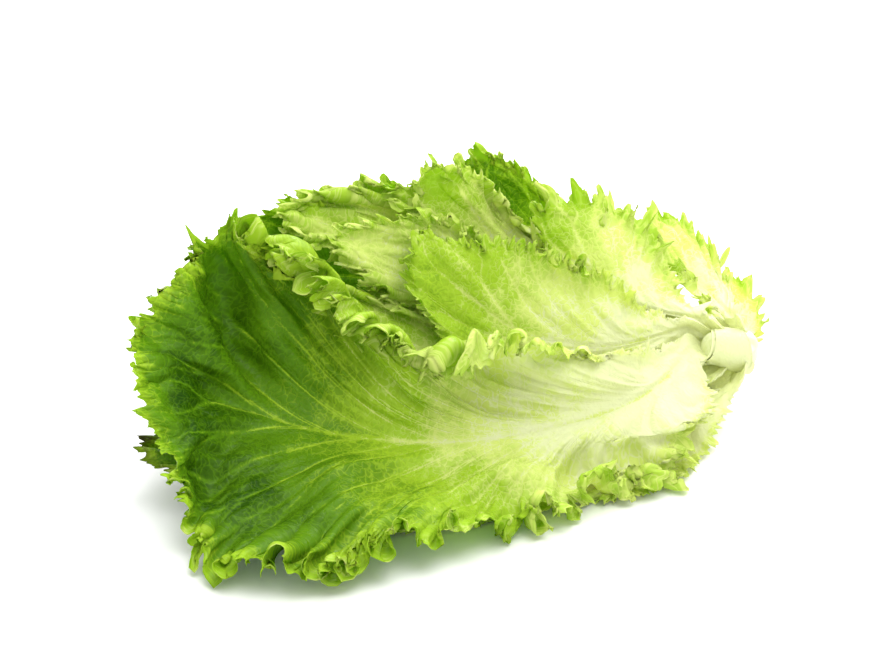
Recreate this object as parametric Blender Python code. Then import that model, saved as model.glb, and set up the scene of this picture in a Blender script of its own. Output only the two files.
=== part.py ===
"""A head of loose-leaf lettuce lying on its side: fourteen curled leaves nested on a short cut stem.

+X points to the cut end of the stem, +Z points up, and the surface that the head lies on is z = 0.
The origin is the middle of the underside of the head's box.
"""

from dataclasses import dataclass

import bmesh
import bpy
import numpy as np

MM = 0.001

# Driving sizes of the whole head, in metres.
HEAD_LENGTH = 0.300
HEAD_WIDTH = 0.178
HEAD_HEIGHT = 0.110

# Driving sizes of the pieces, in metres.
LEAF_THICKNESS = 0.0020
BASE_GAP = 0.0025
STEM_LENGTH = 0.024
STEM_TOP_RADIUS = 0.0075
STEM_BUTT_RADIUS = 0.0100
STEM_BEVEL = 0.0012

# The leaf outlines below are drawn in millimetres on a head of this length, width and height.
DRAWN_SIZE = np.array([303.0, 179.5, 111.0])
HEAD_SCALE = np.array([HEAD_LENGTH, HEAD_WIDTH, HEAD_HEIGHT]) / (DRAWN_SIZE * MM)

# The stem's axis runs from its top, inside the head, towards its cut butt.
STEM_TOP = np.array([127.0, 9.0, 37.0]) * MM * HEAD_SCALE
STEM_AXIS = np.array([0.95, 0.12, -0.30])
STEM_SIDES = 20

# A leaf's grid: columns on each side of the rib, and rows from the rib to the margin.
COLUMNS = 14
ROWS = 5

# A side vein leans forward from straight sideways, in degrees, by least near the base and most at the tip.
LEAST_LEAN = 25.0
MOST_LEAN = 90.0
# How far a side vein's two handles reach, as shares of its length.
VEIN_START = 0.38
VEIN_END = 0.36
# The stretch of rib, as a share of its length, over which its direction is read.
RIB_STEP = 0.01


@dataclass
class Leaf:
    """One leaf. Points are in drawn millimetres, and both margins run from the base to just short of the tip.

    along, layer and angle place the middle of the base: its share of the way down the stem, how many
    leaf bases lie between it and the stem, and its side of the stem, in degrees from +Y towards +Z.
    The two leaves in the heart have a negative layer, because they sit in front of the stem's top.
    face is the direction that the inner surface looks in, along the rib. fan is how strongly the side
    veins crowd towards the end of the rib.
    """

    name: str
    along: float
    layer: float
    angle: float
    base_width: float
    face: tuple
    fan: float
    rib: list
    near: list
    far: list
    tip: tuple
    colour: tuple


LEAVES = [
    Leaf(
        "front_leaf", -0.27, -2.1, -65, 16, (-0.05, -0.35, 0.94), 1.5,
        [(84, -10, 28), (40, -8, 21), (-5, 0, 20), (-45, 20, 23), (-72, 36, 30)],
        [(119, -9, 22), (108, -20, 12), (82, -36, 7), (36, -50, 4), (-20, -62, 3),
         (-68, -62, 3), (-104, -45, 4), (-114, -16, 14), (-118, 6, 28)],
        [(96, 4, 42), (66, 10, 52), (36, 9, 54), (8, 13, 57), (-6, 26, 69), (-26, 46, 82),
         (-48, 70, 95), (-72, 75, 92), (-98, 60, 82), (-116, 46, 66)],
        (-121, 32, 48),
        (0.20, 0.42, 0.05),
    ),
    Leaf(
        "middle_leaf", -0.15, 0.1, 20, 12, (-0.45, -0.78, 0.45), 1.2,
        [(82, 20, 40), (46, 36, 49), (20, 50, 76)],
        [(100, 14, 36), (62, 19, 36), (28, 25, 43), (6, 36, 62), (2, 47, 78)],
        [(108, 28, 49), (90, 41, 61), (68, 50, 72), (50, 55, 80), (30, 56, 84)],
        (12, 56, 90),
        (0.48, 0.62, 0.16),
    ),
    Leaf(
        "inner_leaf", -0.19, -0.8, -60, 10, (-0.20, -0.65, 0.72), 1.2,
        [(86, 17, 27), (40, 26, 31), (-4, 41, 46)],
        [(88, 10, 24), (40, 15, 23), (-6, 27, 35), (-30, 44, 52)],
        [(90, 24, 31), (42, 35, 40), (-2, 50, 60), (-26, 57, 71)],
        (-37, 55, 67),
        (0.56, 0.66, 0.26),
    ),
    Leaf(
        "tucked_leaf", 0.19, 0.35, -24, 11, (-0.30, -0.85, 0.45), 1.2,
        [(78, 48, 42), (38, 58, 60), (4, 60, 77)],
        [(104, 28, 28), (66, 42, 32), (30, 48, 46), (0, 50, 60), (-18, 56, 76)],
        [(106, 32, 39), (84, 45, 46), (60, 59, 66), (40, 65, 84), (18, 64, 94), (-6, 64, 95)],
        (-24, 64, 90),
        (0.52, 0.66, 0.24),
    ),
    Leaf(
        "pale_leaf", 0.18, 0.1, 54, 11, (-0.40, -0.80, 0.45), 1.2,
        [(106, 38, 49), (94, 54, 62), (84, 66, 76)],
        [(114, 32, 46), (97, 48, 51), (80, 61, 62), (73, 68, 75)],
        [(129, 36, 50), (127, 52, 64), (120, 64, 76), (104, 71, 85), (90, 73, 88)],
        (78, 72, 87),
        (0.62, 0.72, 0.28),
    ),
    Leaf(
        "crest_leaf", 0.31, 0.8, 16, 12, (-0.25, -0.88, 0.40), 1.2,
        [(104, 62, 42), (68, 75, 62), (38, 80, 92)],
        [(108, 50, 32), (72, 66, 44), (38, 69, 68), (14, 76, 90), (14, 80, 103)],
        [(112, 66, 50), (84, 80, 64), (62, 86, 82), (50, 84, 98), (42, 82, 108)],
        (28, 80, 111),
        (0.50, 0.68, 0.14),
    ),
    Leaf(
        "upper_leaf", 0.54, 1.0, -28, 11, (-0.20, -0.85, 0.48), 1.2,
        [(92, 72, 34), (46, 82, 58), (4, 86, 84)],
        [(98, 56, 24), (46, 72, 38), (2, 72, 62), (-30, 74, 84)],
        [(98, 80, 42), (62, 88, 58), (32, 94, 82), (12, 93, 99), (-14, 90, 102)],
        (-40, 82, 100),
        (0.34, 0.56, 0.10),
    ),
    Leaf(
        "back_crest_leaf", 0.65, 1.3, 10, 11, (-0.25, -0.85, 0.45), 1.2,
        [(116, 75, 38), (92, 90, 58), (72, 98, 84)],
        [(111, 69, 30), (80, 92, 48), (56, 102, 74), (48, 101, 98)],
        [(128, 74, 41), (110, 88, 60), (94, 94, 78), (80, 98, 94)],
        (62, 101, 104),
        (0.16, 0.36, 0.08),
    ),
    Leaf(
        "shoulder_leaf", 0.77, 0.35, 62, 12, (-0.35, -0.80, 0.50), 1.1,
        [(149, 46, 44), (142, 66, 56)],
        [(141, 36, 46), (135, 56, 54), (130, 74, 65)],
        [(160, 48, 44), (160, 66, 54), (152, 80, 66)],
        (138, 82, 70),
        (0.66, 0.74, 0.36),
    ),
    Leaf(
        "stem_end_leaf", 0.88, 0.45, 5, 12, (0.20, -0.60, 0.78), 1.1,
        [(162, 46, 24), (170, 60, 28)],
        [(150, 48, 29), (154, 64, 35), (164, 75, 40)],
        [(166, 34, 22), (178, 48, 26), (181, 64, 33)],
        (175, 76, 39),
        (0.72, 0.76, 0.44),
    ),
    Leaf(
        "back_leaf", 0.77, 1.8, -36, 14, (-0.10, -0.90, 0.42), 1.2,
        [(104, 84, 24), (52, 104, 42), (0, 108, 64)],
        [(106, 70, 14), (48, 90, 17), (0, 94, 28), (-34, 92, 52)],
        [(118, 90, 38), (66, 112, 60), (20, 114, 84), (-20, 108, 92)],
        (-46, 100, 84),
        (0.22, 0.44, 0.10),
    ),
    Leaf(
        "back_floor_leaf", 0.58, 0.9, -76, 13, (0.0, -0.35, 0.94), 1.2,
        [(92, 50, 4), (30, 70, 2), (-38, 82, 5)],
        [(106, 32, 6), (66, 38, 2), (10, 46, 1), (-44, 54, 3), (-84, 66, 12)],
        [(114, 58, 6), (68, 96, 4), (10, 112, 9), (-42, 112, 22), (-82, 100, 28)],
        (-92, 84, 22),
        (0.24, 0.46, 0.08),
    ),
    Leaf(
        "worn_leaf", 0.12, 0.0, -96, 13, (0.0, -0.05, 1.0), 1.3,
        [(86, 5, 12), (26, 9, 10), (-48, 24, 10)],
        [(98, -6, 13), (34, -11, 9), (-36, 0, 9), (-92, 22, 8)],
        [(92, 20, 14), (30, 28, 12), (-40, 48, 14), (-96, 56, 20)],
        (-117, 42, 16),
        (0.16, 0.30, 0.06),
    ),
    Leaf(
        "floor_leaf", 0.46, 0.9, -128, 14, (0.0, 0.05, 1.0), 1.2,
        [(94, -4, 2), (36, -8, -2), (-28, -2, -2)],
        [(128, -8, 8), (104, -30, 2), (72, -44, -1), (20, -42, -2), (-36, -36, -2), (-78, -18, 1)],
        [(108, 12, 4), (60, 20, 0), (4, 24, -2), (-50, 34, 0)],
        (-92, 10, 3),
        (0.46, 0.58, 0.12),
    ),
]


def unit(vectors):
    """The vectors, each one metre long."""
    return vectors / np.linalg.norm(vectors, axis=-1, keepdims=True)


def spline(points, places):
    """Points on a smooth curve through the given points, at places from 0 to 1 along them."""
    knots = np.asarray(points, float)
    knots = np.vstack([2 * knots[0] - knots[1], knots, 2 * knots[-1] - knots[-2]])
    spans = len(knots) - 3
    place = np.clip(np.asarray(places, float), 0.0, 1.0) * spans
    first = np.minimum(place.astype(int), spans - 1)
    t = (place - first)[:, None]
    a, b, c, d = (knots[first + k] for k in range(4))
    return 0.5 * (2 * b + (c - a) * t + (2 * a - 5 * b + 4 * c - d) * t**2 + (3 * b - a - 3 * c + d) * t**3)


def stem_frame(angle):
    """The directions away from the stem's axis and round it, at an angle in degrees from +Y towards +Z."""
    turn = np.radians(angle)
    away = np.array([0.0, np.cos(turn), np.sin(turn)])
    round_it = np.array([0.0, -np.sin(turn), np.cos(turn)])
    return away, round_it


def base_of(leaf):
    """The near corner, middle and far corner of the leaf's base, beside the stem."""
    away, round_it = stem_frame(leaf.angle)
    share = max(leaf.along, 0.0)
    radius = STEM_TOP_RADIUS + (STEM_BUTT_RADIUS - STEM_TOP_RADIUS) * share
    distance = radius + BASE_GAP + LEAF_THICKNESS / 2 + leaf.layer * (LEAF_THICKNESS + BASE_GAP)
    middle = STEM_TOP + unit(STEM_AXIS) * leaf.along * STEM_LENGTH + away * distance
    half = round_it * leaf.base_width * MM / 2
    return middle - half, middle, middle + half


def leaf_sheet(leaf, columns=COLUMNS, rows=ROWS):
    """The leaf's middle surface as a grid of points, [column, row].

    Columns go round the margin from one corner of the base past the tip to the other, and rows go
    from the rib to the margin, along the side veins. What would sink below the surface that the
    head lies on is pressed flat against it.
    """
    near_corner, middle, far_corner = base_of(leaf)
    rib = np.vstack([middle, np.array(leaf.rib) * MM * HEAD_SCALE])
    tip = np.array(leaf.tip) * MM * HEAD_SCALE
    near = np.vstack([near_corner, np.array(leaf.near) * MM * HEAD_SCALE])
    far = np.vstack([far_corner, np.array(leaf.far) * MM * HEAD_SCALE])
    outline = np.vstack([near, tip, far[::-1]])

    turn = np.linspace(-1.0, 1.0, 2 * columns + 1)
    spans = len(outline) - 1
    place = np.interp(turn, [-1.0, 0.0, 1.0], [0.0, len(near) / spans, 1.0])
    edge = spline(outline, place)
    reach = 1.0 - np.abs(turn) ** leaf.fan
    foot = spline(rib, reach)
    ahead = unit(spline(rib, reach + RIB_STEP) - spline(rib, reach - RIB_STEP))
    face = np.array(leaf.face) - (ahead @ np.array(leaf.face))[:, None] * ahead
    sideways = np.cross(ahead, unit(face)) * np.sign(turn)[:, None]
    lean = np.radians(LEAST_LEAN + (MOST_LEAN - LEAST_LEAN) * reach**2)[:, None]
    start = sideways * np.cos(lean) + ahead * np.sin(lean)

    length = np.linalg.norm(edge - foot, axis=1)[:, None]
    first = foot + start * length * VEIN_START
    second = edge + (first - edge) * VEIN_END
    r = np.linspace(0.0, 1.0, rows + 1)[None, :, None]
    foot, first, second, edge = (a[:, None, :] for a in (foot, first, second, edge))
    sheet = foot * (1 - r) ** 3 + 3 * first * r * (1 - r) ** 2 + 3 * second * r**2 * (1 - r) + edge * r**3
    sheet[:, :, 2] = np.maximum(sheet[:, :, 2], LEAF_THICKNESS / 2)
    return sheet


def leaf_material(name, colour):
    """A waxy leaf green."""
    material = bpy.data.materials.new(name)
    material.use_nodes = True
    shader = material.node_tree.nodes["Principled BSDF"]
    shader.inputs["Base Color"].default_value = (*colour, 1.0)
    shader.inputs["Roughness"].default_value = 0.45
    shader.inputs["Metallic"].default_value = 0.0
    return material


def add_object(name, mesh, colour):
    """A new object with its own material, in the scene."""
    mesh.materials.append(leaf_material(name, colour))
    mesh.shade_smooth()
    piece = bpy.data.objects.new(name, mesh)
    bpy.context.scene.collection.objects.link(piece)
    return piece


def add_leaf(leaf):
    """The leaf's middle surface, thickened equally to both sides."""
    sheet = leaf_sheet(leaf)
    last = 2 * COLUMNS
    build = bmesh.new()
    grid = {}
    for column in range(last + 1):
        for row in range(ROWS + 1):
            if row == 0 and column > COLUMNS:
                grid[column, row] = grid[last - column, row]
            else:
                grid[column, row] = build.verts.new(sheet[column, row])
    for column in range(last):
        for row in range(ROWS):
            corners = [
                grid[column, row],
                grid[column + 1, row],
                grid[column + 1, row + 1],
                grid[column, row + 1],
            ]
            build.faces.new(corners)
    mesh = bpy.data.meshes.new(leaf.name)
    build.to_mesh(mesh)
    build.free()
    piece = add_object(leaf.name, mesh, leaf.colour)
    thicken = piece.modifiers.new("thickness", "SOLIDIFY")
    thicken.thickness = LEAF_THICKNESS
    thicken.offset = 0.0
    return piece


def add_stem():
    """A short tapered stem with a cut butt, both ends lightly rounded."""
    axis = unit(STEM_AXIS)
    side = unit(np.cross(axis, [0.0, 0.0, 1.0]))
    up = np.cross(side, axis)
    profile = [
        (0.0, STEM_TOP_RADIUS - STEM_BEVEL),
        (STEM_BEVEL, STEM_TOP_RADIUS),
        (STEM_LENGTH - STEM_BEVEL, STEM_BUTT_RADIUS),
        (STEM_LENGTH, STEM_BUTT_RADIUS - STEM_BEVEL),
    ]
    build = bmesh.new()
    rings = []
    for along, radius in profile:
        ring = []
        for turn in np.linspace(0.0, 2 * np.pi, STEM_SIDES, endpoint=False):
            spot = STEM_TOP + axis * along + (side * np.cos(turn) + up * np.sin(turn)) * radius
            ring.append(build.verts.new(spot))
        rings.append(ring)
    for lower, upper in zip(rings[:-1], rings[1:], strict=True):
        for k in range(STEM_SIDES):
            after = (k + 1) % STEM_SIDES
            build.faces.new([lower[k], lower[after], upper[after], upper[k]])
    build.faces.new(rings[0])
    build.faces.new(rings[-1])
    bmesh.ops.recalc_face_normals(build, faces=build.faces)
    mesh = bpy.data.meshes.new("stem")
    build.to_mesh(mesh)
    build.free()
    return add_object("stem", mesh, (0.80, 0.82, 0.62))


def centre_on_origin(pieces):
    """Moves every piece so that the middle of the underside of their common box is the origin."""
    bpy.context.view_layer.update()
    graph = bpy.context.evaluated_depsgraph_get()
    corners = []
    for piece in pieces:
        mesh = piece.evaluated_get(graph).to_mesh()
        corners.extend(vertex.co.copy() for vertex in mesh.vertices)
    cloud = np.array(corners)
    low, high = cloud.min(axis=0), cloud.max(axis=0)
    shift = [-(low[0] + high[0]) / 2, -(low[1] + high[1]) / 2, -low[2]]
    for piece in pieces:
        piece.location = shift


def main():
    for old in list(bpy.data.objects):
        bpy.data.objects.remove(old, do_unlink=True)
    pieces = [add_leaf(leaf) for leaf in LEAVES]
    pieces.append(add_stem())
    centre_on_origin(pieces)


main()
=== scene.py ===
"""The looks of a head of loose-leaf lettuce: frilled, veined, moist leaves around a short cut stem.

Each leaf starts as the middle surface of its solid. Its margin, which is longer than its blade, is
laid out in folds, and it gets a rib, forking veins, blisters between them and a lobed, toothed edge.
"""

from collections import namedtuple
from dataclasses import dataclass

import bpy
import numpy as np
from mathutils import Matrix, Vector
from mathutils.kdtree import KDTree


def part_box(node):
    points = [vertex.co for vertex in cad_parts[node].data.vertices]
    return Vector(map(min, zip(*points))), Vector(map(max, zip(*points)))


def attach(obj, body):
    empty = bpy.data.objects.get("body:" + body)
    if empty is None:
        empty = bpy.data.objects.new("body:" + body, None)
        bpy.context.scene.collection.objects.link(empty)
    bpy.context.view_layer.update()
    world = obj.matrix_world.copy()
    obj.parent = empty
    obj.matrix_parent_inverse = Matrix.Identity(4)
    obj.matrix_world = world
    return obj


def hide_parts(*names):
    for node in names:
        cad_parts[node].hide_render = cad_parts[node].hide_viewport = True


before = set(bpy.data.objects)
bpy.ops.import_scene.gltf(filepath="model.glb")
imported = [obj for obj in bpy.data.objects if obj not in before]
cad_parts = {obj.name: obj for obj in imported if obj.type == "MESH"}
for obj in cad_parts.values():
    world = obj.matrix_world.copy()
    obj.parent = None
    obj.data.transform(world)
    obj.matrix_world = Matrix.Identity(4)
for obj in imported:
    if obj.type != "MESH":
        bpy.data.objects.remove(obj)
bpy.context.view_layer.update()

MM = 0.001

# ---- the head's own sizes, as in its solids

DRAWN_SIZE = np.array([303.0, 179.5, 111.0])
HEAD_SIZE = np.array([0.300, 0.178, 0.110])
HEAD_SCALE = HEAD_SIZE / (DRAWN_SIZE * MM)
SOLID_THICKNESS = 0.0020
BASE_GAP = 0.0025
STEM_LENGTH = 0.024
STEM_TOP_RADIUS = 0.0075
STEM_BUTT_RADIUS = 0.0100
STEM_BEVEL = 0.0012
STEM_TOP = np.array([127.0, 9.0, 37.0]) * MM * HEAD_SCALE
STEM_AXIS = np.array([0.95, 0.12, -0.30])
STEM_SIDES = 20
# How far a side vein leans from straight sideways towards the tip, in degrees, at the base and the tip.
LEAST_LEAN = 25.0
MOST_LEAN = 90.0
# Where its two guide points lie, as shares of the way from the rib and from the margin.
VEIN_START = 0.38
VEIN_END = 0.36
# The step along the rib between the points that give its direction.
RIB_STEP = 0.01

# ---- the blade's own sizes

# Half of the flat sheet's columns, the rows from rib to margin, and the step between a blade's columns.
SHEET_HALF = 160
ROWS = 38
MARGIN_STEP = 0.22 * MM
BLADE_HALF_THICKNESS = 0.22 * MM
# How far over the surface that the head lies on the blade's middle and its skins stay, at least.
BLADE_CLEARANCE = 0.3 * MM
SKIN_CLEARANCE = 0.1 * MM
# The height over that below which the blade is pressed up.
PRESSED_HEIGHT = 3 * MM
# How much further back on the rib than straight behind its stretch of margin a side vein starts.
VEIN_SWEEP = 0.80
# How much margin a side vein feeds, from least to most, in millimetres.
VEIN_SPACING = (13.0, 27.0)
# A vein that feeds less margin than this, or has forked more times, doesn't fork.
LAST_VEIN = 5.5 * MM
MOST_FORKS = 5
# The shares of the way from the rib to the margin at which a curled margin starts and ends its turn.
CURL_START = 0.58
CURL_END = 0.97
# The places round the margin where the near and the far side's curl sets in. The tip is at 0.
NEAR_CURL = (-0.1, -0.35)
FAR_CURL = (0.2, 0.45)
# How far the curl varies, as a share, and the share of the margin from one change to the next.
CURL_UNEVEN = 0.35
CURL_STEP = 0.035
# How much longer the blade is for each radian that its margin turns over.
CURL_STRETCH = 0.13
# The length of the blade's broad folds along the margin.
FOLD_LENGTH = 26 * MM
# Waves of the margin: length, the share of the ruffled band where they start, and strength.
WAVES = ((13 * MM, 0.0, 1.0), (6 * MM, 0.4, 0.75), (3 * MM, 0.7, 0.4))
# The most that a folded row turns from its course, in radians.
MOST_TURN = 1.9
# The length over which the margin's course is kept.
TREND_LENGTH = 17 * MM
# The least share of a folded row's length that it may cover along the margin.
LEAST_ADVANCE = 0.35
# Furrows and blisters: spacing along the margin, values from rib to margin, and height in millimetres.
FURROWS = ((19 * MM, 4, 4.6), (9 * MM, 5, 2.0), (4.5 * MM, 9, 0.9), (2.6 * MM, 26, 0.5))
# Crumples of the ruffled band, in the same way, on a leaf whose folds stand out this many millimetres.
CRUMPLES = ((8 * MM, 7, 3.6), (4 * MM, 13, 1.6))
CRUMPLED_HEIGHT = 12.0
# The width of the valley between two blisters.
BLISTER_VALLEY = 2.3 * MM
# Pointed teeth on the margin's lobes: spacing and height. The margin is set back to make room for them.
TEETH = ((4.2 * MM, 3.2 * MM), (1.9 * MM, 1.2 * MM))
TEETH_SET_BACK = 3.0 * MM
# Deep cuts: where round the margin, their width and their depth, each from least to most.
CUT_PLACES = (0.15, 0.85)
CUT_WIDTHS = (1.2, 3.0)
CUT_DEPTHS = (6, 12)
# The depth of green that the margin's frills tend to, and the painted shade that the rib's groove adds:
# deeper green standing in for the shadow in that hollow.
FRILL_TONE = 0.42
GROOVE_PAINTED_SHADE = 0.20

# ---- the foot's and the stem's own sizes

# A leaf's foot runs this share of the stem's length down from its base, and a little more if it clasps.
HEEL_ROWS = 16
HEEL_LENGTH = 0.45
HEEL_CLASP_LENGTH = 0.002
HEEL_END = 0.95
# How far the foot's inner side lies inside the stem's surface, and its outer side outside it.
HEEL_SINK = 1.2 * MM
HEEL_DEPTH = 1.6 * MM
# What the material reads there.
HEEL_VALUES = {"tone": 0.02, "vein": 0.3, "margin": 0.3}
# The stem's rings: the share of its length, and of its radius there.
STEM_PROFILE = ((0.0, 0.5), (0.03, 0.8), (0.1, 0.97), (0.3, 1.0), (0.5, 1.0), (0.7, 1.0), (0.85, 1.0),
                (0.95, 0.98), (0.985, 0.92), (1.0, 0.8), (1.0, 0.7), (0.97, 0.5), (0.96, 0.2))
STEM_RING = 96
# How much of its solid's radius the stem takes up, and where along its solid it starts and how far it runs.
FLESH_RADIUS = 0.93
FLESH_START = 0.05
FLESH_LENGTH = 0.9
# The stem's ridges: the step round it in radians, values along it, and height as a share of its radius.
RIDGE_ANGLE = 0.35
RIDGE_COUNT = 6
RIDGE_HEIGHT = 0.05
RIDGE_SEED = 20

# ---- the map that colours are baked on

# The shares of the map's width along which the blade and then its foot lie.
BAKE_BLADE = 0.94
BAKE_FOOT = 0.99
# The share of a strip's height that is used, and the height where it starts.
BAKE_USED = 0.96
BAKE_START = 0.01
# Where the walls between the two sides lie, and the whole map's height, both in strips.
BAKE_WALL = (4.03, 4.09)
BAKE_HEIGHT = 4.1


@dataclass
class Leaf:
    """Where one leaf lies, in drawn millimetres, as its solid does, and how it looks.

    ruffle is how steeply the margin's folds turn, in radians, and band the share of the blade that
    they take up. tone is the depth of green at the base and at the tip, from 0, white, to 1, darkest.
    rib_size is the rib's half width and depth at the base, folds the depth of the blade's broad folds,
    lobes the spacing and depth of the margin's lobes, and height the most that its folds stand out,
    all in millimetres. curl turns the near and far margins over, and clasp takes the near side of the
    foot further round the stem, both in degrees. cuts is how many deep cuts the margin has, calm_tip
    how far folds give way to lobes near the tip, from 0 to 1, and wear how brown the margin is.
    """

    name: str
    along: float
    layer: float
    angle: float
    base_width: float
    face: tuple
    fan: float
    rib: list
    near: list
    far: list
    tip: tuple
    ruffle: float
    band: float
    tone: tuple
    rib_size: tuple
    folds: float
    seed: int
    curl: tuple = (0.0, 0.0)
    lobes: tuple = (11.0, 3.0)
    cuts: int = 3
    height: float = 9.0
    wear: float = 0.0
    clasp: float = 0.0
    calm_tip: float = 0.3


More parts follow.
